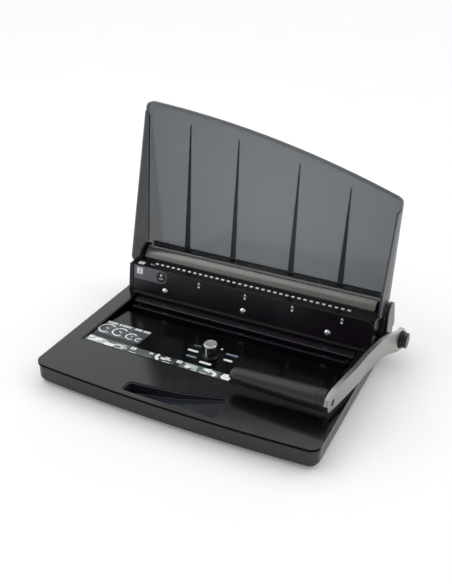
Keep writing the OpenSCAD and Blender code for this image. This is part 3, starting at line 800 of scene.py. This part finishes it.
class BINDER_OT_hooks(bpy.types.Operator):
    """Makes the row of bent wire hooks"""

    bl_idname = "binder.hooks"
    bl_label = "Wire hooks"

    def execute(self, context):
        sizes = context.scene.binder_sizes
        low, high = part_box("wire_hooks")
        wide = high.x - low.x
        margin = (wide - (HOLE_COUNT - 1) * HOLE_PITCH) / 2
        pitch = (wide - 2 * margin) / (sizes.hook_count - 1)
        sheet = sizes.hook_sheet
        top = high.z - sheet
        bend = 1.0 * MM
        bend_steps = 4
        tip = 0.5 * MM
        back = low.y + sheet
        path = [(back, low.z), (back, top - bend)]
        for step in range(1, bend_steps + 1):
            turn = math.pi / 2 * step / bend_steps
            path.append((back + bend * (1 - math.cos(turn)), top - bend + bend * math.sin(turn)))
        path += [(high.y - tip, top), (high.y, top - tip / 2)]
        whole = bmesh.new()
        for i in range(sizes.hook_count):
            place = Matrix.Translation((low.x + margin + i * pitch, 0, 0))
            merge(whole, self.hook(path, sizes.hook_width, sheet), place)
        bar_height = 6 * MM
        merge(whole, slab(rectangle(wide, bar_height), sheet, 0.2 * MM),
              Matrix.Translation((low.x, back, low.z)) @ Matrix.Rotation(math.pi / 2, 4, "X"))
        finish_piece("wire_hooks_bent", whole, ["hook_steel"], "base", ["wire_hooks"])
        return {"FINISHED"}

    def hook(self, path, width, sheet):
        """One hook with a narrowed tip."""
        shape = bent_strip(path, width, sheet)
        tip_start = max(v.co.y for v in shape.verts) - 0.2 * MM
        tip_share = 0.8
        for vert in shape.verts:
            if vert.co.y > tip_start:
                vert.co.x *= tip_share
        edges = [e for e in shape.edges if e.calc_face_angle(0) > math.radians(50)]
        round_edges(shape, edges, 0.18 * MM, 1)
        return shape


def screw_head(radius, height, flange=0.3 * MM):
    """Domed screw head with a cross recess, standing on its flange."""
    arm_reach = radius * 0.52
    arm_middle = radius * 0.16
    arm_spread = 12  # degrees to each side
    rise = [(0, height), (arm_middle, height), (radius * 0.34, height * 0.97),
            (arm_reach, height * 0.9), (radius * 0.72, height * 0.74),
            (radius * 0.88, height * 0.5), (radius * 0.97, height * 0.24),
            (radius, 0), (radius, -flange), (0, -flange)]
    head = turned(rise, 32)
    recess = []
    for face in head.faces:
        middle = face.calc_center_median()
        across = math.hypot(middle.x, middle.y)
        off_axis = math.degrees(math.atan2(middle.y, middle.x)) % 90
        in_arm = across < arm_reach and min(off_axis, 90 - off_axis) < arm_spread
        if middle.z > 0 and (across < arm_middle or in_arm):
            recess.append(face)
    floor = verts_in(bmesh.ops.extrude_face_region(head, geom=recess)["geom"])
    bmesh.ops.delete(head, geom=recess, context="FACES")
    recess_depth = height * 0.45
    recess_taper = 0.85
    bmesh.ops.translate(head, vec=(0, 0, -recess_depth), verts=floor)
    bmesh.ops.scale(head, vec=(recess_taper, recess_taper, 1.0), verts=floor)
    return head


class BINDER_OT_screws(bpy.types.Operator):
    """Makes the domed screws of the front panel and the rear cover"""

    bl_idname = "binder.screws"
    bl_label = "Screws"

    def execute(self, context):
        front = bmesh.new()
        below_label = -9.3 * MM
        for x in FRONT_SCREWS:
            merge(front, screw_head(4.3 * MM, 2.0 * MM), panel_place(x * MM, below_label))
        finish_piece("front_screws_domed", front, ["fastener_steel"], "base", ["front_screws"])
        low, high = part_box("rear_screws")
        rear = bmesh.new()
        radius = 3.2 * MM
        height = 1.4 * MM
        reach = high.x - radius
        shank = in_mm([(0, 0), (1.7, 0), (1.7, -5.2), (1.2, -6), (0, -6)])
        for x in (-reach, 0, reach):
            place = Matrix.Translation((x, (low.y + high.y) / 2, high.z - height))
            merge(rear, screw_head(radius, height, 0.1 * MM), place)
            merge(rear, turned(shank, 16), place)
        finish_piece("rear_screws_domed", rear, ["fastener_steel"], "base", ["rear_screws"])
        return {"FINISHED"}


# ---- operators: printed marks ----


class BINDER_OT_panel_print(bpy.types.Operator):
    """Makes the front panel's label, its arrow marks and the numbered square above it"""

    bl_idname = "binder.panel_print"
    bl_label = "Panel print"

    def execute(self, context):
        low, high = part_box("front_label")
        radius = 9.5 * MM
        inset = 0.5 * MM
        straight = high.x - low.x - radius - inset
        end_steps = 16
        outline = [(0, 0), (straight, 0)]
        for step in range(1, end_steps):
            turn = math.pi * (step / end_steps - 0.5)
            outline.append((straight + radius * math.cos(turn), radius + radius * math.sin(turn)))
        outline += [(straight, 2 * radius), (0, 2 * radius)]
        label = bmesh.new()
        place = panel_place(low.x + inset, 0)
        ink = place @ shift(0, 0, FILM)
        merge(label, slab(outline, FILM, FILM_EDGE), place, 0)
        print_plate(label, 9.2, 9.2, ink @ shift(4.2, 7.4), 1)
        merge(label, numeral("2", 8 * MM, INK), ink @ shift(8.8, 12, INK), 0)
        button = ink @ Matrix.Translation((straight + 0.4 * MM, radius, 0))
        merge(label, disc(7.6 * MM, INK, 40), button, 2)
        above = button @ shift(0, 0, INK)
        arrow = [(-0.7, 0.4), (0.7, 0.4), (0.7, 2.4), (2.0, 2.4), (0, 5.2), (-2.0, 2.4), (-0.7, 2.4)]
        merge(label, slab(in_mm(arrow), INK), above, 1)
        print_plate(label, 6.4, 1.0, above @ shift(-3.2, -2.8), 1)
        finish_piece("front_label_printed", label, ["label_grey", "print_white", "print_black"],
                     "base", ["front_label"])
        self.make_arrows()
        self.make_top_square()
        return {"FINISHED"}

    def make_arrows(self):
        """Arrow over a dot, four times along the panel."""
        marks = bmesh.new()
        head = in_mm([(-2.0, 1.2), (0, 2.6), (2.0, 1.2), (0, 5.6)])
        for x in PANEL_ARROWS:
            place = panel_place(x * MM, 10.5 * MM)
            merge(marks, disc(DOT, FILM, 20, DOT_FLARE), place @ shift(0, -1.6))
            merge(marks, slab(head, FILM), place)
        finish_piece("panel_arrows_printed", marks, ["print_white"], "base", ["panel_marks"])

    def make_top_square(self):
        """Numbered square and edge signs on the top cover's left end."""
        low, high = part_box("punch_top_cover")
        square = bmesh.new()
        place = Matrix.Translation((low.x + 4 * MM, low.y + 2.6 * MM, high.z))
        print_plate(square, 9, 7, place, 0)
        merge(square, numeral("1", 6.5 * MM, INK), place @ shift(4.5, 3.5, INK), 1)
        for x, depth in ((18, 3.2), (21, 1.6), (23.4, 1.0)):
            print_plate(square, 1.2, depth, place @ shift(x, 4.2), 0)
        finish_piece("top_square_printed", square, ["print_white", "print_black"], "base")


class BINDER_OT_bed_print(bpy.types.Operator):
    """Makes the printed size chart, the instruction strip and the dial's size marks"""

    bl_idname = "binder.bed_print"
    bl_label = "Bed print"

    def execute(self, context):
        self.make_chart()
        self.make_strip()
        self.make_size_marks()
        return {"FINISHED"}

    def make_chart(self):
        """Chart of wire sizes: open rings that get smaller, under their tags."""
        low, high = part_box("size_chart")
        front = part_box("instruction_strip")[0].y
        chart = bmesh.new()
        wide = high.x - low.x
        deep = 35
        place = bed_place(low.x, low.y - front)
        merge(chart, slab(rectangle(wide, deep * MM), FILM, FILM_EDGE), place, 0)
        ink = place @ shift(0, 0, FILM)
        print_plate(chart, wide / MM - 1, 7, ink @ shift(0.5, deep - 7.5), 1)
        rings = [(10.5, 11.8, 2.3, 2), (20.5, 10.2, 1.5, 3), (31, 10.8, 2.3, 2),
                 (41.5, 8.8, 1.5, 3), (50, 8.0, 2.0, 2), (57, 6.0, 1.3, 3), (62.5, 4.8, 1.6, 2)]
        for across, radius, line, index in rings:
            middle = ink @ shift(across, 4 + radius, INK)
            ring = band((radius - line) * MM, radius * MM, math.radians(48), math.radians(262),
                        INK)
            merge(chart, ring, middle, index)
            barb = middle @ Matrix.Rotation(math.radians(-28), 4, "Z") @ shift(-radius * 0.25, 0)
            print_plate(chart, radius * 0.55, line * 0.6, barb, index)
        for across, width in ((2, 14), (20, 3), (25, 13), (44, 10), (57, 9)):
            tag = ink @ shift(across, deep - 5.4, INK)
            print_plate(chart, width, 4.4, tag, 2)
            for line in (1.2, 2.8):
                print_plate(chart, width - 3, 0.5, tag @ shift(1.5, line, INK), 4)
        finish_piece("size_chart_printed", chart, ["print_slate", "print_grey", "print_white",
                     "print_lavender", "label_grey"], "base", ["size_chart"])

    def make_strip(self):
        """Strip of numbered pictures: sheets, wires, hands and a turning arrow."""
        low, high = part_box("instruction_strip")
        strip = bmesh.new()
        deep = 14.5
        place = bed_place(low.x, 0)
        ink = place @ shift(0, 0, FILM)
        merge(strip, slab(rectangle(high.x - low.x, deep * MM), FILM, FILM_EDGE), place, 4)

        def shape(points, index, layer=1):
            merge(strip, slab(in_mm(points), INK), ink @ shift(0, 0, layer * INK), index)

        def oval(x, y, length, radius, steps):
            shape([(a + x, b + y) for a, b in stadium(length, radius, steps)], 0, 2)

        def tag(x, number):
            place = ink @ shift(x, 7.6, 2 * INK)
            print_plate(strip, 7, 6.2, place, 0)
            merge(strip, numeral(number, 6 * MM, INK), place @ shift(3.5, 3.1, INK), 4)

        def caption(x0, x1):
            shape([(x0, 1.2), (x1, 1.2), (x1, 2.3), (x0, 2.3)], 0)

        for x0, x1, index in ((0, 62, 1), (63, 98, 1), (99, 129, 3), (136, 162, 1),
                              (163, 189, 1), (190, 205, 3)):
            print_plate(strip, x1 - x0, deep - 1, ink @ shift(x0, 0.5), index)
        tag(1, "1")
        tag(64, "2")
        tag(129.5, "3")
        shape([(2, 2), (27, 1.2), (33, 8), (22, 13.4), (9, 13), (9, 6.6), (2, 6)], 2)
        shape([(3, 2.6), (16, 4), (23, 9), (20, 12), (11, 11.4), (10, 5.8), (3, 5.4)], 0, 2)
        oval(35, 4.2, 9.0, 3.4, 16)
        for x, y in ((44, 9), (47.4, 9.6), (50.8, 8.2), (54, 7)):
            merge(strip, band(1.0 * MM, 1.6 * MM, 0, 2 * math.pi, INK, 12),
                  ink @ shift(x, y, INK), 0)
        shape([(41, 5), (57, 9.6), (56, 12.6), (40, 9)], 2, 0.5)
        shape([(52, 3.0), (60, 5.8), (59.4, 7.6), (51.4, 5.0)], 0, 2)
        caption(44, 57)
        for step in range(4):
            start = 70 + 4 * step
            shape([(start, 3), (start + 1.3, 3), (start + 7.3, 12.6), (start + 6, 12.6)], 3, 1)
        oval(93, 11, 3.0, 1.5, 12)
        caption(66, 76)
        merge(strip, disc(10.5 * MM, INK, 30),
              ink @ shift(112.5, 11.8, INK) @ Matrix.Diagonal((1.0, 0.2, 1.0, 1.0)), 4)
        merge(strip, band(4.8 * MM, 8.9 * MM, math.radians(140), math.radians(120), INK),
              ink @ shift(109, 9.4, 2 * INK), 0)
        shape([(116, 1.2), (128, 1.6), (127.4, 8.6), (118, 9.4)], 1, 0.5)
        for x, y in ((111, 8.4), (116, 11.4), (112.6, 6.4), (119, 8.0)):
            oval(x, y, 4.6, 1.3, 12)
        caption(113, 124)
        shape([(140, 13.2), (158, 12.2), (159.6, 3.8), (144, 4.8)], 2)
        shape([(142, 3.4), (149, 2.2), (151, 8), (145.4, 9.4)], 0, 2)
        shape([(149, 2), (152.6, 1.6), (151, 4.4)], 4, 2)
        caption(154, 161)
        self.turning_arrow(strip, ink @ shift(176, 5.2, INK))
        caption(165, 174)
        shape([(193, 13), (198.6, 13.8), (201, 8.8), (204.4, 7.6), (203.4, 1.4), (194.4, 1.6),
               (191, 6)], 0)
        finish_piece("instruction_strip_printed", strip,
                     ["print_white", "print_grey", "print_pale", "print_slate", "print_black"],
                     "base", ["instruction_strip"])

    def turning_arrow(self, strip, middle):
        """Curved arrow that points back to the left."""
        merge(strip, band(4.2 * MM, 7.8 * MM, math.radians(-40), math.radians(150), INK),
              middle @ Matrix.Diagonal((1.3, 0.85, 1.0, 1.0)), 0)
        head = [(0, 9.2), (0, 0.6), (-10.6, 4.6), (-8.2, 7.6)]
        merge(strip, slab(in_mm(head), INK), middle, 0)

    def make_size_marks(self):
        """Ovals round the dial, light and grey in turn, and a white dot."""
        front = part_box("instruction_strip")[0].y
        marks = bmesh.new()
        ovals = [((-25, -96.5), 6.6, 1), ((-24.5, -110), 11.0, 0), ((-20, -123.5), 10.6, 2),
                 ((2.6, -129.5), 12.4, 0), ((24, -110), 8.0, 0), ((23, -96), 13.0, 2)]
        for (x, y), length, index in ovals:
            merge(marks, slab(stadium(length * MM, 2.1 * MM), FILM, FILM_EDGE),
                  bed_place(x * MM, y * MM - front), index)
        merge(marks, disc(DOT, FILM, 20, DOT_FLARE), bed_place(5.4 * MM, -88.5 * MM - front), 0)
        finish_piece("dial_marks_printed", marks, ["print_white", "print_grey", "print_lavender"],
                     "base", ["dial_marks"])


# ---- operators: dial ----


class BINDER_OT_dial(bpy.types.Operator):
    """Makes the fluted size dial and its turned metal cap"""

    bl_idname = "binder.dial"
    bl_label = "Size dial"

    def execute(self, context):
        flutes = context.scene.binder_sizes.flutes
        low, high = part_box("size_dial_body")
        radius = (high.x - low.x) / 2
        tall = high.z - low.z
        place = foot_of("size_dial_body")
        bore = 3.2 * MM
        foot = 0.1 * MM
        profile = [(bore, foot), *in_mm([(10.2, 0.1), (10.5, 0.35), (10.2, 0.6)]),
                   (radius * 1.06, 0.7 * MM), (radius, 1.6 * MM), (radius, tall * 0.5),
                   (radius, tall - 0.8 * MM), (radius * 0.94, tall), (bore, tall), (bore, foot)]
        points_per_flute = 6
        flute_depth = 0.055
        body = turned(profile, flutes * points_per_flute)
        for vert in body.verts:
            on_side = math.hypot(vert.co.x, vert.co.y) > radius / 2
            if on_side and 1.0 * MM < vert.co.z < tall:
                wave = math.cos(flutes * math.atan2(vert.co.y, vert.co.x))
                inward = 1 - flute_depth * (0.5 + 0.5 * wave)
                vert.co.x *= inward
                vert.co.y *= inward
        whole = bmesh.new()
        merge(whole, body, place, 0)
        pointer_width = 1.1
        pointer = slab(rectangle(0.9 * MM, pointer_width * MM), tall - 1.6 * MM, 0.2 * MM)
        on_rim = Matrix.Translation((radius, 0, 0)) @ shift(-0.5, -pointer_width / 2, 1.2 * MM)
        merge(whole, pointer, place @ Matrix.Rotation(math.radians(-108), 4, "Z") @ on_rim, 1)
        finish_piece("size_dial_fluted", whole, ["dial_plastic", "print_white"], "dial",
                     ["size_dial_body"])
        self.make_cap()
        return {"FINISHED"}

    def make_cap(self):
        """Turned cap with a chamfered rim, a shallow dish and fine rings."""
        low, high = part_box("size_dial_cap")
        radius = (high.x - low.x) / 2
        tall = high.z - low.z
        ridge = tall - 0.1 * MM
        groove = tall - 0.14 * MM
        profile = [(0, 0), (radius * 0.95, 0), (radius, 0.3 * MM), (radius, tall - 0.7 * MM),
                   (radius * 0.94, ridge), (radius * 0.9, tall)]
        rings = 9
        for ring in range(rings, 0, -1):
            across = radius * 0.88 * ring / rings
            profile += [(across, ridge), (across - 0.3 * MM, groove)]
        profile += [(0, groove)]
        whole = bmesh.new()
        merge(whole, turned(profile, 64), foot_of("size_dial_cap"))
        finish_piece("size_dial_cap_turned", whole, ["dial_chrome"], "dial", ["size_dial_cap"])


# ---- operators: lid ----


class BINDER_OT_lid(bpy.types.Operator):
    """Makes the smoked clear lid with its dark ribs, rim and side seams"""

    bl_idname = "binder.lid"
    bl_label = "Lid"

    def execute(self, context):
        shape = rounded_copy("lid", context.scene.binder_sizes.lid_edge, steps=2)
        to_lid = lid_place().inverted()
        turn = to_lid.to_3x3()
        for face in shape.faces:
            middle = to_lid @ face.calc_center_median()
            facing = turn @ face.normal
            above_panel = middle.z - LID_PANEL
            if 0.02 * MM < above_panel < RIB_HEIGHT and abs(middle.x) < RIB_REACH:
                face.material_index = 1
            elif abs(facing.x) > 0.7:
                face.material_index = 3
            elif abs(facing.z) < 0.5:
                face.material_index = 2
        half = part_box("lid")[1].x
        inset = 2.2 * MM
        width = 1.4 * MM
        for x, length in ((-half + inset, 180 * MM), (half - inset - width, 108 * MM)):
            seam = slab(rectangle(width, length), 0.5 * MM, 0.15 * MM)
            merge(shape, seam, lid_place() @ Matrix.Translation((x, 4 * MM, LID_PANEL)), 1)
        channel = slab(rectangle(2 * RIB_REACH, 4 * MM), 0.4 * MM, 0.1 * MM)
        merge(shape, channel, lid_place() @ Matrix.Translation((-RIB_REACH, -2 * MM, LID_PANEL)), 2)
        finish_piece("lid_clear", shape, ["lid_smoke", "lid_rib", "lid_rim", "lid_wall"], "lid",
                     ["lid"])
        return {"FINISHED"}


# ---- operators: lever ----


class BINDER_OT_lever(bpy.types.Operator):
    """Makes the lever arm, its collar and the knob on the shaft's end"""

    bl_idname = "binder.lever"
    bl_label = "Lever"

    def execute(self, context):
        sizes = context.scene.binder_sizes
        soften("lever_arm", sizes.arm_edge)
        soften("lever_collar", RING_EDGE, steps=2)
        low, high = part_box("lever_knob")
        radius = (high.z - low.z) / 2
        deep = high.x - low.x
        corner = radius * 1.05
        outline = []
        for i in range(sizes.knob_sides):
            turn = 2 * math.pi * (i + 0.5) / sizes.knob_sides
            outline.append((corner * math.cos(turn), corner * math.sin(turn)))
        knob = slab(outline, deep)
        top = max(knob.faces, key=lambda face: face.calc_center_median().z)
        bmesh.ops.inset_individual(knob, faces=[top], thickness=radius * 0.3,
                                   depth=-0.5 * MM, use_even_offset=True)
        edges = [e for e in knob.edges if e.calc_face_angle(0) > math.radians(20)]
        round_edges(knob, edges, 0.9 * MM, 3)
        whole = bmesh.new()
        merge(whole, knob, left_end_of("lever_knob"))
        finish_piece("lever_knob_moulded", whole, ["knob_plastic"], "lever", ["lever_knob"])
        return {"FINISHED"}


class BINDER_OT_grip(bpy.types.Operator):
    """Makes the lever's moulded grip and its end ring"""

    bl_idname = "binder.grip"
    bl_label = "Grip"

    def execute(self, context):
        low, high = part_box("lever_grip")
        length = high.x - low.x
        nose = 8 * MM
        nose_radius = 9.4 * MM
        nose_steps = 8
        profile = [(0, 0)]
        for step in range(1, nose_steps + 1):
            turn = math.pi / 2 * step / nose_steps
            profile.append((nose_radius * math.sin(turn), nose * (1 - math.cos(turn))))
        profile += in_mm([(10.2, 20), (11.4, 50), (12.1, 70), (12.5, 90)])
        from_end = in_mm([(12.8, 6.4), (12.6, 5.9), (12.0, 5.6), (12.0, 4.6), (12.7, 4.3),
                          (12.9, 3.9), (12.9, 0.6), (12.5, 0), (4.3, 0)])
        profile += [(across, length - back) for across, back in from_end]
        profile += in_mm([(4.3, 16), (0, 16)])
        whole = bmesh.new()
        merge(whole, turned(profile, 64), left_end_of("lever_grip"))
        finish_piece("lever_grip_moulded", whole, ["grip_plastic"], "lever", ["lever_grip"])
        soften("grip_ring", RING_EDGE, steps=2)
        return {"FINISHED"}


# ---- panel and registration ----

OPERATORS = (BINDER_OT_stage, BINDER_OT_finishes, BINDER_OT_base, BINDER_OT_housing,
             BINDER_OT_hooks, BINDER_OT_screws, BINDER_OT_panel_print, BINDER_OT_bed_print,
             BINDER_OT_dial, BINDER_OT_lid, BINDER_OT_lever, BINDER_OT_grip)
SETTINGS = {"binder_colours": BinderColours, "binder_sizes": BinderSizes,
            "binder_stage": BinderStage}


class BINDER_PT_panel(bpy.types.Panel):
    """Lists the machine's pieces and settings"""

    bl_idname = "BINDER_PT_panel"
    bl_label = "Wire Binding Machine"
    bl_space_type = "VIEW_3D"
    bl_region_type = "UI"
    bl_category = "Binder"

    def draw(self, context):
        for operator in OPERATORS:
            self.layout.operator(operator.bl_idname)
        for name, group in SETTINGS.items():
            box = self.layout.box()
            for setting in group.__annotations__:
                box.prop(getattr(context.scene, name), setting)


def register():
    """Registers the settings, the operators and the panel."""
    for group in SETTINGS.values():
        bpy.utils.register_class(group)
    for name, group in SETTINGS.items():
        setattr(bpy.types.Scene, name, PointerProperty(type=group))
    for operator in OPERATORS:
        bpy.utils.register_class(operator)
    bpy.utils.register_class(BINDER_PT_panel)


def unregister():
    """Takes the add-on out again."""
    bpy.utils.unregister_class(BINDER_PT_panel)
    for operator in reversed(OPERATORS):
        bpy.utils.unregister_class(operator)
    for name in SETTINGS:
        delattr(bpy.types.Scene, name)
    for group in SETTINGS.values():
        bpy.utils.unregister_class(group)


def main():
    """Registers the add-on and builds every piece."""
    register()
    bpy.ops.binder.stage()
    bpy.ops.binder.finishes()
    bpy.ops.binder.base()
    bpy.ops.binder.housing()
    bpy.ops.binder.hooks()
    bpy.ops.binder.screws()
    bpy.ops.binder.panel_print()
    bpy.ops.binder.bed_print()
    bpy.ops.binder.dial()
    bpy.ops.binder.lid()
    bpy.ops.binder.lever()
    bpy.ops.binder.grip()


if __name__ == "__main__":
    main()
